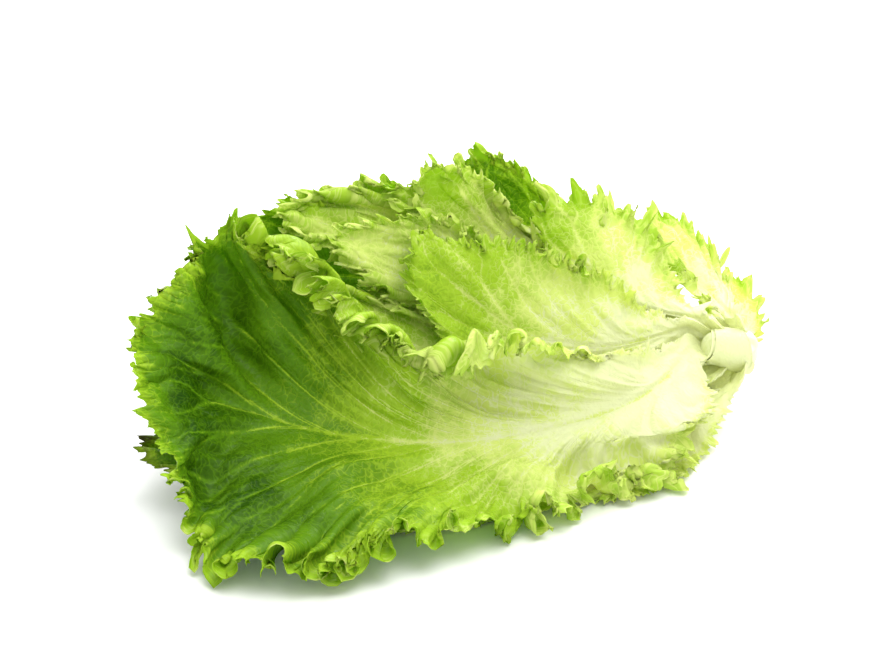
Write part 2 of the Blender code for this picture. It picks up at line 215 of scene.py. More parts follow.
LEAVES = [
    Leaf(
        "front_leaf", -0.27, -2.1, -65, 16, (-0.05, -0.35, 0.94), 1.5,
        [(84, -10, 28), (40, -8, 21), (-5, 0, 20), (-45, 20, 23), (-72, 36, 30)],
        [(119, -9, 22), (108, -20, 12), (82, -36, 7), (36, -50, 4), (-20, -62, 3),
         (-68, -62, 3), (-104, -45, 4), (-114, -16, 14), (-118, 6, 28)],
        [(96, 4, 42), (66, 10, 52), (36, 9, 54), (8, 13, 57), (-6, 26, 69), (-26, 46, 82),
         (-48, 70, 95), (-72, 75, 92), (-98, 60, 82), (-116, 46, 66)],
        (-121, 32, 48),
        ruffle=2.6, band=0.42, tone=(0.0, 0.97), height=12.0, curl=(32, 115), rib_size=(11.0, 3.5),
        lobes=(14.0, 5.0), folds=8.0, cuts=12, clasp=190.0, calm_tip=0.6, seed=41,
    ),
    Leaf(
        "middle_leaf", -0.15, 0.1, 20, 12, (-0.45, -0.78, 0.45), 1.2,
        [(82, 20, 40), (46, 36, 49), (20, 50, 76)],
        [(100, 14, 36), (62, 19, 36), (28, 25, 43), (6, 36, 62), (2, 47, 78)],
        [(108, 28, 49), (90, 41, 61), (68, 50, 72), (50, 55, 80), (30, 56, 84)],
        (12, 56, 90),
        ruffle=1.8, band=0.25, tone=(0.08, 0.50), curl=(0, 60), rib_size=(5.0, 2.0), folds=1.0, seed=2,
    ),
    Leaf(
        "inner_leaf", -0.19, -0.8, -60, 10, (-0.20, -0.65, 0.72), 1.2,
        [(86, 17, 27), (40, 26, 31), (-4, 41, 46)],
        [(88, 10, 24), (40, 15, 23), (-6, 27, 35), (-30, 44, 52)],
        [(90, 24, 31), (42, 35, 40), (-2, 50, 60), (-26, 57, 71)],
        (-37, 55, 67),
        ruffle=2.0, band=0.35, tone=(0.02, 0.45), rib_size=(5.0, 2.0), folds=1.0, curl=(10, 40), seed=3,
    ),
    Leaf(
        "tucked_leaf", 0.19, 0.35, -24, 11, (-0.30, -0.85, 0.45), 1.2,
        [(78, 48, 42), (38, 58, 60), (4, 60, 77)],
        [(104, 28, 28), (66, 42, 32), (30, 48, 46), (0, 50, 60), (-18, 56, 76)],
        [(106, 32, 39), (84, 45, 46), (60, 59, 66), (40, 65, 84), (18, 64, 94), (-6, 64, 95)],
        (-24, 64, 90),
        ruffle=2.1, band=0.38, tone=(0.02, 0.24), rib_size=(5.0, 2.0), folds=3.0, curl=(20, 80), seed=4,
    ),
    Leaf(
        "pale_leaf", 0.18, 0.1, 54, 11, (-0.40, -0.80, 0.45), 1.2,
        [(106, 38, 49), (94, 54, 62), (84, 66, 76)],
        [(114, 32, 46), (97, 48, 51), (80, 61, 62), (73, 68, 75)],
        [(129, 36, 50), (127, 52, 64), (120, 64, 76), (104, 71, 85), (90, 73, 88)],
        (78, 72, 87),
        ruffle=2.0, band=0.45, tone=(0.0, 0.34), rib_size=(4.5, 2.0), height=7.0, lobes=(12.0, 8.0),
        folds=1.5, curl=(10, 20), seed=5,
    ),
    Leaf(
        "crest_leaf", 0.31, 0.8, 16, 12, (-0.25, -0.88, 0.40), 1.2,
        [(104, 62, 42), (68, 75, 62), (38, 80, 92)],
        [(108, 50, 32), (72, 66, 44), (38, 69, 68), (14, 76, 90), (14, 80, 103)],
        [(112, 66, 50), (84, 80, 64), (62, 86, 82), (50, 84, 98), (42, 82, 108)],
        (28, 80, 111),
        ruffle=2.5, band=0.55, tone=(0.08, 0.38), rib_size=(4.5, 2.0), folds=5.0, curl=(30, 60),
        height=10.0, seed=6,
    ),
    Leaf(
        "upper_leaf", 0.54, 1.0, -28, 11, (-0.20, -0.85, 0.48), 1.2,
        [(92, 72, 34), (46, 82, 58), (4, 86, 84)],
        [(98, 56, 24), (46, 72, 38), (2, 72, 62), (-30, 74, 84)],
        [(98, 80, 42), (62, 88, 58), (32, 94, 82), (12, 93, 99), (-14, 90, 102)],
        (-40, 82, 100),
        ruffle=2.6, band=0.6, tone=(0.06, 0.34), rib_size=(4.5, 2.0), folds=5.0, curl=(40, 70),
        height=11.0, seed=7,
    ),
    Leaf(
        "back_crest_leaf", 0.65, 1.3, 10, 11, (-0.25, -0.85, 0.45), 1.2,
        [(116, 75, 38), (92, 90, 58), (72, 98, 84)],
        [(111, 69, 30), (80, 92, 48), (56, 102, 74), (48, 101, 98)],
        [(128, 74, 41), (110, 88, 60), (94, 94, 78), (80, 98, 94)],
        (62, 101, 104),
        ruffle=2.5, band=0.55, tone=(0.18, 0.72), rib_size=(4.0, 1.8), folds=4.0, curl=(40, 70),
        height=10.0, seed=8,
    ),
    Leaf(
        "shoulder_leaf", 0.77, 0.35, 62, 12, (-0.35, -0.80, 0.50), 1.1,
        [(149, 46, 44), (142, 66, 56)],
        [(141, 36, 46), (135, 56, 54), (130, 74, 65)],
        [(160, 48, 44), (160, 66, 54), (152, 80, 66)],
        (138, 82, 70),
        ruffle=2.0, band=0.45, tone=(0.0, 0.26), rib_size=(4.0, 1.8), height=6.0, lobes=(9.0, 6.0),
        folds=1.5, curl=(10, 20), clasp=40.0, seed=9,
    ),
    Leaf(
        "stem_end_leaf", 0.88, 0.45, 5, 12, (0.20, -0.60, 0.78), 1.1,
        [(162, 46, 24), (170, 60, 28)],
        [(150, 48, 29), (154, 64, 35), (164, 75, 40)],
        [(166, 34, 22), (178, 48, 26), (181, 64, 33)],
        (175, 76, 39),
        ruffle=1.3, band=0.40, tone=(0.0, 0.16), rib_size=(3.5, 1.5), height=5.0, lobes=(8.0, 5.0),
        folds=1.5, curl=(10, 20), seed=10,
    ),
    Leaf(
        "back_leaf", 0.77, 1.8, -36, 14, (-0.10, -0.90, 0.42), 1.2,
        [(104, 84, 24), (52, 104, 42), (0, 108, 64)],
        [(106, 70, 14), (48, 90, 17), (0, 94, 28), (-34, 92, 52)],
        [(118, 90, 38), (66, 112, 60), (20, 114, 84), (-20, 108, 92)],
        (-46, 100, 84),
        ruffle=2.5, band=0.45, tone=(0.05, 0.85), rib_size=(6.0, 2.5), folds=3.0, curl=(-40, 60),
        seed=11,
    ),
    Leaf(
        "back_floor_leaf", 0.58, 0.9, -76, 13, (0.0, -0.35, 0.94), 1.2,
        [(92, 50, 4), (30, 70, 2), (-38, 82, 5)],
        [(106, 32, 6), (66, 38, 2), (10, 46, 1), (-44, 54, 3), (-84, 66, 12)],
        [(114, 58, 6), (68, 96, 4), (10, 112, 9), (-42, 112, 22), (-82, 100, 28)],
        (-92, 84, 22),
        ruffle=2.3, band=0.42, tone=(0.05, 0.85), rib_size=(6.0, 2.5), folds=2.0, curl=(20, 60), seed=12,
    ),
    Leaf(
        "worn_leaf", 0.12, 0.0, -96, 13, (0.0, -0.05, 1.0), 1.3,
        [(86, 5, 12), (26, 9, 10), (-48, 24, 10)],
        [(98, -6, 13), (34, -11, 9), (-36, 0, 9), (-92, 22, 8)],
        [(92, 20, 14), (30, 28, 12), (-40, 48, 14), (-96, 56, 20)],
        (-117, 42, 16),
        ruffle=2.2, band=0.42, tone=(0.1, 0.95), rib_size=(5.0, 1.5), folds=0.0, wear=0.9, height=2.5,
        seed=13,
    ),
    Leaf(
        "floor_leaf", 0.46, 0.9, -128, 14, (0.0, 0.05, 1.0), 1.2,
        [(94, -4, 2), (36, -8, -2), (-28, -2, -2)],
        [(128, -8, 8), (104, -30, 2), (72, -44, -1), (20, -42, -2), (-36, -36, -2), (-78, -18, 1)],
        [(108, 12, 4), (60, 20, 0), (4, 24, -2), (-50, 34, 0)],
        (-92, 10, 3),
        ruffle=2.2, band=0.40, tone=(0.02, 0.40), rib_size=(5.0, 1.2), folds=0.0, height=2.2, seed=14,
    ),
]

# ---- curves and grids


def unit(vectors):
    """The vectors, each one metre long."""
    return vectors / np.maximum(np.linalg.norm(vectors, axis=-1, keepdims=True), 1e-12)


def smooth(low, high, x):
    """0 below low, 1 above high, with a smooth step between."""
    t = np.clip((x - low) / (high - low), 0.0, 1.0)
    return t * t * (3 - 2 * t)


def sample(grid, place):
    """The grid's values at fractional places along its first axis, by a smooth curve through them."""
    padded = np.concatenate([2 * grid[:1] - grid[1:2], grid, 2 * grid[-1:] - grid[-2:-1]])
    spans = len(grid) - 1
    place = np.clip(place, 0.0, spans)
    first = np.minimum(place.astype(int), spans - 1)
    t = (place - first).reshape(-1, *([1] * (grid.ndim - 1)))
    a, b, c, d = (padded[first + k] for k in range(4))
    return 0.5 * (2 * b + (c - a) * t + (2 * a - 5 * b + 4 * c - d) * t**2 + (3 * b - a - 3 * c + d) * t**3)


def spline(points, places):
    """Points on a smooth curve through the given points, at places from 0 to 1 along them."""
    knots = np.asarray(points, float)
    return sample(knots, np.clip(np.asarray(places, float), 0.0, 1.0) * (len(knots) - 1))


def wander(rng, where, step):
    """A smooth random curve between about -1 and 1, with a new value every step of where."""
    values = rng.uniform(-1.0, 1.0, int(where.max() / step) + 3)
    return sample(values, where / step)


def patches(rng, where, step, r, count):
    """Smooth random values over where and r, with a new one every step of where and count along r."""
    values = rng.uniform(-1.0, 1.0, (int(where.max() / step) + 3, count))
    return sample(sample(values, where / step).T, r * (count - 1)).T


def bumps(rng, along, r, sizes):
    """The sum of patches of several sizes, each a step along the margin, a count along r and a height."""
    return sum(height * patches(rng, along, step, r, count) for step, count, height in sizes)


def trend(values, window):
    """A moving average along the first axis, over that many values."""
    half = max(int(window) // 2, 1)
    padded = np.concatenate([values[:1].repeat(half, 0), values, values[-1:].repeat(half, 0)])
    total = np.concatenate([np.zeros_like(padded[:1]), padded.cumsum(axis=0)])
    width = 2 * half
    return ((total[width:] - total[:-width]) / width)[: len(values)]


def lengths(points):
    """How far along its curve each point is."""
    steps = np.linalg.norm(np.diff(points, axis=0), axis=-1)
    return np.concatenate([np.zeros_like(steps[:1]), steps.cumsum(axis=0)])


# ---- the leaf's middle surface


def stem_frame(angle):
    """The directions away from the stem's axis and round it, at an angle in degrees from +Y towards +Z."""
    turn = np.radians(angle)
    away = np.array([0.0, np.cos(turn), np.sin(turn)])
    round_it = np.array([0.0, -np.sin(turn), np.cos(turn)])
    return away, round_it


def base_of(leaf):
    """The near corner, middle and far corner of the leaf's base, beside the stem."""
    away, round_it = stem_frame(leaf.angle)
    share = max(leaf.along, 0.0)
    radius = STEM_TOP_RADIUS + (STEM_BUTT_RADIUS - STEM_TOP_RADIUS) * share
    distance = radius + BASE_GAP + SOLID_THICKNESS / 2 + leaf.layer * (SOLID_THICKNESS + BASE_GAP)
    middle = STEM_TOP + unit(STEM_AXIS) * leaf.along * STEM_LENGTH + away * distance
    half = round_it * leaf.base_width * MM / 2
    return middle - half, middle, middle + half


def leaf_sheet(leaf, turn, r):
    """The middle surface, [column, row], at turns from -1 to 1 round the margin and r from rib to margin."""
    near_corner, middle, far_corner = base_of(leaf)
    rib = np.vstack([middle, np.array(leaf.rib) * MM * HEAD_SCALE])
    tip = np.array(leaf.tip) * MM * HEAD_SCALE
    near = np.vstack([near_corner, np.array(leaf.near) * MM * HEAD_SCALE])
    far = np.vstack([far_corner, np.array(leaf.far) * MM * HEAD_SCALE])
    outline = np.vstack([near, tip, far[::-1]])
    spans = len(outline) - 1
    edge = spline(outline, np.interp(turn, [-1.0, 0.0, 1.0], [0.0, len(near) / spans, 1.0]))
    reach = 1.0 - np.abs(turn) ** leaf.fan
    foot = spline(rib, reach)
    ahead = unit(spline(rib, reach + RIB_STEP) - spline(rib, reach - RIB_STEP))
    face = np.array(leaf.face) - (ahead @ np.array(leaf.face))[:, None] * ahead
    sideways = np.cross(ahead, unit(face)) * np.sign(turn)[:, None]
    lean = np.radians(LEAST_LEAN + (MOST_LEAN - LEAST_LEAN) * reach**2)[:, None]
    start = sideways * np.cos(lean) + ahead * np.sin(lean)
    length = np.linalg.norm(edge - foot, axis=1)[:, None]
    first = foot + start * length * VEIN_START
    second = edge + (first - edge) * VEIN_END
    r = np.asarray(r)[None, :, None]
    foot, first, second, edge = (a[:, None, :] for a in (foot, first, second, edge))
    return foot * (1 - r) ** 3 + 3 * first * r * (1 - r) ** 2 + 3 * second * r**2 * (1 - r) + edge * r**3


def even_turns(leaf, half):
    """2 * half + 1 turns, the same on both sides, spaced about evenly along the margin."""
    dense = np.linspace(0.0, 1.0, 400)
    along = sum(lengths(leaf_sheet(leaf, dense * side, [1.0])[:, 0]) for side in (-1.0, 1.0)) / 2
    away = np.interp(np.linspace(0.0, along[-1], half + 1), along, dense)
    return np.concatenate([-away[:0:-1], away]), along[-1]


def facing(sheet):
    """The direction that the inner surface looks in, at each point of the sheet."""
    normal = np.cross(np.gradient(sheet, axis=0), np.gradient(sheet, axis=1))
    normal[:, :2] = normal[:, 2:3]
    normal[:, 0] = normal[:, 0] + normal[::-1, 0]
    return unit(normal)


def vein_places(turn, r):
    """The turns, [column, row], through which the vein that ends at each turn of the margin runs."""
    away = np.abs(turn)[:, None]
    back = VEIN_SWEEP * away**0.5 * (1.0 - away) * (1.0 - r[None, :]) ** 1.5
    return np.sign(turn)[:, None] * (away + back)


def curl_margin(sheet, r, turn, degrees, rng):
    """The sheet with the outer part of its near and far sides turned over towards its inner face."""
    steps = np.diff(sheet, axis=1)
    axis = unit(np.gradient(sheet, axis=0)[:, 1:])
    side = degrees[0] * smooth(*NEAR_CURL, turn) + degrees[1] * smooth(*FAR_CURL, turn)
    uneven = 1.0 + CURL_UNEVEN * wander(rng, np.linspace(0.0, 1.0, len(turn)), CURL_STEP)
    side = np.radians(side * smooth(1.0, 0.7, np.abs(turn)) * uneven)[:, None]
    amount = side * smooth(CURL_START, CURL_END, r[1:])[None, :]
    longer = 1.0 + CURL_STRETCH * np.abs(side) * smooth(0.05, 0.35, r[1:])[None, :]
    turned = steps * np.cos(amount)[..., None] + np.cross(axis, steps) * np.sin(amount)[..., None]
    out = sheet.copy()
    out[:, 1:] = sheet[:, :1] + np.cumsum(turned * longer[..., None], axis=1)
    return out


# ---- folds of the margin


def ruffles(leaf, along, r, fade, rng):
    """How far the folded margin shifts along itself and stands out from the sheet, [column, row].

    Each row is a meander: its direction swings to and fro, so its length is more than the distance
    that it covers, and the finer waves set in closer to the margin.
    """
    hold = 1.0 - leaf.band
    swing = np.zeros((len(along), len(r)))
    step = along[1] - along[0]
    for length, start, strength in WAVES:
        pace = 1.0 + 0.45 * wander(rng, along, length * 1.7)
        phase = (2 * np.pi / length * step * pace).cumsum() + rng.uniform(0, 6)
        lean = wander(rng, along, length * 2.5)[:, None] * 1.2 * (r[None, :] - 1.0)
        size = 1.0 + 0.55 * wander(rng, along, length * 1.3)
        begin = hold + (1 - hold) * start
        grows = smooth(begin - 0.02, begin + (1 - begin) * 1.1, r) ** 1.1
        swing += leaf.ruffle * strength * np.sin(phase[:, None] + lean) * size[:, None] * grows[None, :]
    swing = MOST_TURN * np.tanh(swing * fade[:, None] / MOST_TURN)
    window = TREND_LENGTH / step
    mean = np.maximum(trend(trend(np.cos(swing), window), window), LEAST_ADVANCE)
    shift = ((np.cos(swing) / mean - 1.0) * step).cumsum(axis=0)
    stand = (np.sin(swing) / mean * step).cumsum(axis=0)
    shift -= trend(trend(shift, window), window)
    stand -= trend(trend(stand, window), window)
    return shift * fade[:, None], stand * fade[:, None]


def teeth(distance, rng, pitch, height):
    """The height of a row of pointed teeth at each distance along the margin."""
    count = int(distance[-1] / pitch * 1.6) + 4
    steps = rng.uniform(0.5, 1.5, count) * pitch
    ends = np.concatenate([[0.0], steps.cumsum()])
    heights = rng.uniform(0.3, 1.3, count) * height
    top = rng.uniform(0.3, 0.7, count)
    index = np.clip(np.searchsorted(ends, distance, side="right") - 1, 0, count - 1)
    f = np.clip((distance - ends[index]) / steps[index], 0, 1)
    rise = np.where(f < top[index], f / top[index], (1 - f) / (1 - top[index]))
    return heights[index] * rise**1.4


# ---- veins


def fork(veins, low, high, start, r_start, level, rng):
    """One side vein that feeds the margin from low to high, and the two that it splits into."""
    wide = high - low
    last = wide < LAST_VEIN or level > MOST_FORKS
    r_end = 1.0 if last else r_start + (1.0 - r_start) * rng.uniform(0.3, 0.6)
    middle = (low + high) / 2 + rng.uniform(-0.12, 0.12) * wide
    count = max(int((r_end - r_start) * 60), 4)
    t = np.linspace(0.0, 1.0, count)
    sway = np.sin(t * np.pi) * rng.uniform(-0.1, 0.1) * wide
    place = start + (middle - start) * (0.35 * t + 0.65 * smooth(0.0, 1.0, t)) + sway
    veins.append((place, r_start + (r_end - r_start) * t, np.full(count, 0.8**level)))
    if not last:
        cut = low + wide * rng.uniform(0.38, 0.62)
        fork(veins, low, cut, place[-1], r_end, level + 1, rng)
        fork(veins, cut, high, place[-1], r_end, level + 1, rng)


def vein_points(total, rng):
    """All side veins of one leaf: places along the margin, rows from rib to margin, and strengths."""
    veins = []
    edges = [0.0]
    while edges[-1] < total:
        edges.append(edges[-1] + rng.uniform(*VEIN_SPACING) * MM)
    edges = np.array(edges) * total / edges[-1]
    for low, high in zip(edges[:-1], edges[1:], strict=True):
        fork(veins, low, high, (low + high) / 2, 0.0, 0, rng)
    return [np.concatenate(part) for part in zip(*veins, strict=True)]


def look_up(grid, column, row):
    """The grid's values between its points."""
    columns, rows = grid.shape[:2]
    column, row = np.clip(column, 0, columns - 1.001), np.clip(row, 0, rows - 1.001)
    i, j = column.astype(int), row.astype(int)
    u, v = (column - i)[:, None], (row - j)[:, None]
    low = grid[i, j] * (1 - u) + grid[i + 1, j] * u
    high = grid[i, j + 1] * (1 - u) + grid[i + 1, j + 1] * u
    return low * (1 - v) + high * v


def vein_gaps(rest, r, along, rng):
    """Each point's distance from the nearest side vein, and that vein's strength."""
    place, row, strength = vein_points(along[-1], rng)
    column = place / along[-1] * (len(along) - 1)
    points = look_up(rest, column, np.interp(row, r, np.arange(len(r))))
    tree = KDTree(len(points))
    for k, point in enumerate(points.tolist()):
        tree.insert(point, k)
    tree.balance()
    found = [tree.find(point)[1:] for point in rest.reshape(-1, 3).tolist()]
    index, gap = (np.array(part) for part in zip(*found, strict=True))
    return gap.reshape(rest.shape[:2]), strength[index].reshape(rest.shape[:2])


# ---- one whole leaf


def row_places(rows):
    """Rows from the rib to the margin, closest together at the margin."""
    return 1.0 - (1.0 - np.linspace(0.0, 1.0, rows)) ** 1.6


def keep_off_floor(points, least):
    """The points with what lies low or under the surface that the head lies on pressed up against it."""
    soft = PRESSED_HEIGHT
    z = points[..., 2] - least
    points[..., 2] = least + np.where(z < soft, soft * np.exp(np.minimum(z / soft - 1.0, 0.0)), z)
    return points


def grow_blade(leaf, rng):
    """The blade's middle surface with all its folds, the flat sheet under it, and both coordinates."""
    r = row_places(ROWS)
    turn, side_length = even_turns(leaf, SHEET_HALF)
    sheet = leaf_sheet(leaf, turn, r)
    half = int(side_length / (MARGIN_STEP * 1))
    along = np.linspace(0.0, 2 * side_length, 2 * half + 1)
    margin_turn = sample(turn, along / along[-1] * (len(turn) - 1))
    turns = vein_places(margin_turn, r)
    places = np.interp(turns, turn, np.arange(len(turn)))
    rest = np.stack([sample(sheet[:, k], places[:, k]) for k in range(ROWS)], axis=1)
    sheet = curl_margin(sheet, r, turn, leaf.curl, rng)
    fold = wander(rng, np.linspace(0.0, 2 * side_length, len(turn)), FOLD_LENGTH)[:, None]
    fold = fold * smooth(0.05, 0.6, r)
    sheet += facing(sheet) * (fold * leaf.folds * MM * smooth(1.0, 0.9, np.abs(turn))[:, None])[..., None]
    normal = facing(sheet)
    before_tip, past_tip = smooth(-0.3, -0.12, margin_turn), smooth(0.42, 0.25, margin_turn)
    fade = smooth(1.0, 0.6, np.abs(margin_turn)) ** 0.8
    fade = fade * (1.0 - leaf.calm_tip * before_tip * past_tip)
    shift, stand = ruffles(leaf, along, r, fade, rng)
    most = leaf.height * MM
    stand = most * np.tanh(stand / most)
    blade = np.empty_like(rest)
    scale = (len(sheet) - 1) / along[-1]
    for k in range(ROWS):
        where = places[:, k] + shift[:, k] * scale
        foot = sample(sheet[:, k], where)
        needed = 0.8 * leaf.height * MM * smooth(1 - leaf.band, 1.0, r[k]) * fade
        blade[:, k] = foot + unit(sample(normal[:, k], where)) * stand[:, k, None]
        blade[:, k, 2] += np.maximum(needed - foot[:, 2], 0.0) * 0.8
    return blade, rest, r, turns, along


# The rib as each point of a leaf sees it: how far out along it the point's vein starts, the point's
# distance from it, its size there, and how far the point belongs to it. Each is [column, row].
Rib = namedtuple("Rib", "reach away half_width depth share")


def find_rib(leaf, rest, turns):
    """The rib, broad and deep at the base and narrow at the tip."""
    reach = 1.0 - np.minimum(np.abs(turns), 1.0) ** leaf.fan
    away = lengths(np.swapaxes(rest, 0, 1)).T
    half_width = (leaf.rib_size[0] * (1 - reach) ** 1.2 + 0.7) * MM
    depth = (leaf.rib_size[1] * (1 - reach) ** 1.2 + 0.15) * MM
    share = np.exp(-((away / half_width) ** 2)) * (1.0 - 0.75 * smooth(0.35, 0.85, reach))
    return Rib(reach, away, half_width, depth, share)


def cut_margin(leaf, blade, r, turn, rng):
    """The blade with a margin that is lobed, toothed and cut."""
    fade = smooth(1.0, 0.93, np.abs(turn))
    margin = lengths(blade[:, -1])
    outward = unit(blade[:, -1] - blade[:, -9])
    tooth = teeth(margin, rng, leaf.lobes[0] * MM, leaf.lobes[1] * MM)
    tooth *= 1.0 + 1.6 * leaf.calm_tip * smooth(0.45, 0.25, np.abs(turn))
    tooth += sum(teeth(margin, rng, pitch, height) for pitch, height in TEETH) - TEETH_SET_BACK
    for cut in rng.uniform(*CUT_PLACES, leaf.cuts):
        width = rng.uniform(*CUT_WIDTHS) * MM
        tooth -= rng.uniform(*CUT_DEPTHS) * MM * np.exp(-(((margin - cut * margin[-1]) / width) ** 2))
    blade = blade + outward[:, None, :] * ((tooth * fade)[:, None] * smooth(0.8, 1.0, r)[None, :])[..., None]
    return keep_off_floor(blade, BLADE_CLEARANCE)


def crumple(leaf, blade, along, r, turn, rng):
    """The blade with its ruffled band crumpled, far less on a leaf whose folds stand out little."""
    band = smooth(1.0 - leaf.band, 1.0, r)[None, :] * smooth(1.0, 0.6, np.abs(turn))[:, None]
    band = band * (leaf.height / CRUMPLED_HEIGHT) ** 2.5
    blade = blade + facing(blade) * (bumps(rng, along, r, CRUMPLES) * band * MM)[..., None]
    return keep_off_floor(blade, BLADE_CLEARANCE)


def furrows(leaf, along, turn, r, rng):
    """The height, in millimetres, of furrows along the veins and of blisters, [column, row]."""
    height = bumps(rng, along, r, FURROWS) * smooth(0.05, 0.5, r)[None, :]
    height = height * smooth(1.0, 0.6, np.abs(turn))[:, None]
    relief = min(0.2 + 0.1 * leaf.folds, 1.0) * (1.0 - 0.6 * smooth(1.0 - leaf.band, 1.0, r))
    return height * relief[None, :]


def both_skins(blade, rib, gap, vein, furrow, r):
    """The front, with a groove and two ridges on the rib, and the back, where rib and veins stand out."""
    normal = facing(blade)
    blister = (1 - np.exp(-((gap / BLISTER_VALLEY) ** 2))) * smooth(0.06, 0.35, r)[None, :]
    lift = (0.9 * blister - 0.15 * vein + furrow) * MM
    half = BLADE_HALF_THICKNESS * (1 - 0.6 * smooth(0.9, 1.0, r))[None, :]
    groove = -0.35 * rib.depth * np.exp(-((rib.away / (rib.half_width * 0.55)) ** 2))
    ridge_gap = (rib.away - rib.half_width * 0.95) / (rib.half_width * 0.35)
    ridge = 0.25 * rib.depth * np.exp(-(ridge_gap**2))
    front = blade + normal * (lift + half + groove + ridge)[..., None]
    back = blade + normal * (lift - half - rib.share * rib.depth - vein * 0.35 * MM)[..., None]
    for skin in (front, back):
        skin[..., 2] = np.maximum(skin[..., 2], SKIN_CLEARANCE)
    return front, back


def leaf_values(leaf, rest, rib, vein, r, turn):
    """What the material reads: the depth of green, with painted shade in the rib's groove, the veins, and the
    way from the rib to the margin.
    """
    away = np.linalg.norm(rest - rest[0, 0], axis=2)
    low, high = leaf.tone
    tone = low + (high - low) * smooth(0.10, 1.0, away / away.max()) ** 1.2
    tone = tone * (1 - 0.75 * rib.share)
    # Painted shade: the green is deepened along the rib's groove near the base, standing in for the shadow in
    # that hollow.
    groove = np.exp(-((rib.away / (0.45 * rib.half_width)) ** 2))
    groove = groove * smooth(0.6, 0.25, rib.reach) * smooth(0.0, 0.15, rib.reach)
    tone = tone + GROOVE_PAINTED_SHADE * groove
    frilled = 0.75 * smooth(0.6, 1.0, r)[None, :] * smooth(1.0, 0.7, np.abs(turn))[:, None]
    tone = tone + (FRILL_TONE - tone) * frilled
    return {
        "tone": tone,
        "vein": np.maximum(vein, rib.share * 0.5) * (0.08 + 1.25 * tone),
        "margin": np.broadcast_to(r[None, :], tone.shape),
    }


def finish_leaf(leaf):
    """The leaf's front and back surfaces, its flat sheet, and the values that its material reads."""
    rng = np.random.default_rng(leaf.seed)
    blade, rest, r, turns, along = grow_blade(leaf, rng)
    turn = turns[:, -1]
    gap, strength = vein_gaps(rest, r, along, rng)
    width = (0.28 + 0.55 * strength) * (1.0 - 0.4 * r)[None, :] * MM
    vein = strength * np.exp(-((gap / width) ** 2))
    rib = find_rib(leaf, rest, turns)
    blade = cut_margin(leaf, blade, r, turn, rng)
    blade = crumple(leaf, blade, along, r, turn, rng)
    front, back = both_skins(blade, rib, gap, vein, furrows(leaf, along, turn, r, rng), r)
    return front, back, rest, leaf_values(leaf, rest, rib, vein, r, turn)


def stem_radius(down):
    """The stem's radius at a share of its length from its top."""
    return STEM_TOP_RADIUS + (STEM_BUTT_RADIUS - STEM_TOP_RADIUS) * down


def heel(leaf, front, back):
    """The inner and outer surfaces of the leaf's foot, [row, across], from its base down onto the stem.

    They are worked out as a distance down the stem's axis, an angle round it and a distance from it.
    """
    across = np.linspace(-1.0, 1.0, 2 * front.shape[1] - 1)
    t = np.linspace(0.0, 1.0, HEEL_ROWS + 1)[:, None]
    axis = unit(STEM_AXIS)
    half = np.degrees(0.5 * leaf.base_width * MM / STEM_BUTT_RADIUS)
    last_angle = np.radians(leaf.angle + across * (half + leaf.clasp * (across < 0)))
    reach = max(leaf.along, 0.0) + HEEL_LENGTH + HEEL_CLASP_LENGTH * leaf.clasp
    last = min(reach, HEEL_END) * STEM_LENGTH
    surfaces = []
    for side, offset in ((front, -HEEL_SINK), (back, HEEL_DEPTH)):
        start = np.concatenate([side[0, ::-1], side[-1, 1:]]) - STEM_TOP
        first = start[:, 0] / axis[0]
        off = start - first[:, None] * axis
        distance = np.hypot(off[:, 1], off[:, 2])
        lag = np.radians(leaf.angle) - np.arctan2(off[:, 2], off[:, 1])
        angle = np.radians(leaf.angle) - (lag + np.pi) % (2 * np.pi) + np.pi
        angle = angle + (last_angle - angle) * smooth(0.0, 0.5, t)
        down = first + (last - first) * t
        radius = stem_radius(np.clip(down / STEM_LENGTH, 0, 1))
        edge = offset * np.cos(across * np.pi / 2.2) ** 0.5 * (1.0 - 0.6 * t)
        distance = distance + (radius + edge - distance) * smooth(0.0, 0.7, t)
        away = np.stack([np.zeros_like(angle), np.cos(angle), np.sin(angle)], axis=-1)
        surfaces.append(STEM_TOP + axis * down[..., None] + away * distance[..., None])
    return surfaces


# ---- meshes


def quads(grid):
    """What the grid holds at the four corners of each face between its points, [face, corner]."""
    corners = [grid[:-1, :-1], grid[1:, :-1], grid[1:, 1:], grid[:-1, 1:]]
    return np.stack(corners, axis=2).reshape(-1, 4, *grid.shape[2:])


def leaf_faces(columns, rows, foot_rows):
    """Which of the blade's points are used, the leaf's faces, and how many points lie round its rim."""
    index = np.arange(columns * rows).reshape(columns, rows)
    middle = (columns - 1) // 2
    index[middle + 1 :, 0] = index[:middle, 0][::-1]
    used, packed = np.unique(index, return_inverse=True)
    index = packed.reshape(columns, rows)
    foot = len(used) + np.arange((foot_rows - 1) * (2 * rows - 1)).reshape(foot_rows - 1, -1)
    foot = np.vstack([np.concatenate([index[0, ::-1], index[-1, 1:]]), foot])
    count = foot[-1, -1] + 1
    front = np.concatenate([quads(index), quads(foot)])
    rim = np.concatenate([foot[:, 0], foot[-1, 1:], foot[-2::-1, -1], index[-2::-1, -1]])
    walls = np.stack([rim[:-1], rim[1:], rim[1:] + count, rim[:-1] + count], axis=-1)
    return used, np.concatenate([front, front[:, ::-1] + count, walls]), len(rim)


def strip_places(u, v):
    """The places in the bake's map of the corners of a grid's faces."""
    return quads(np.stack(np.broadcast_arrays(u, v), axis=-1))


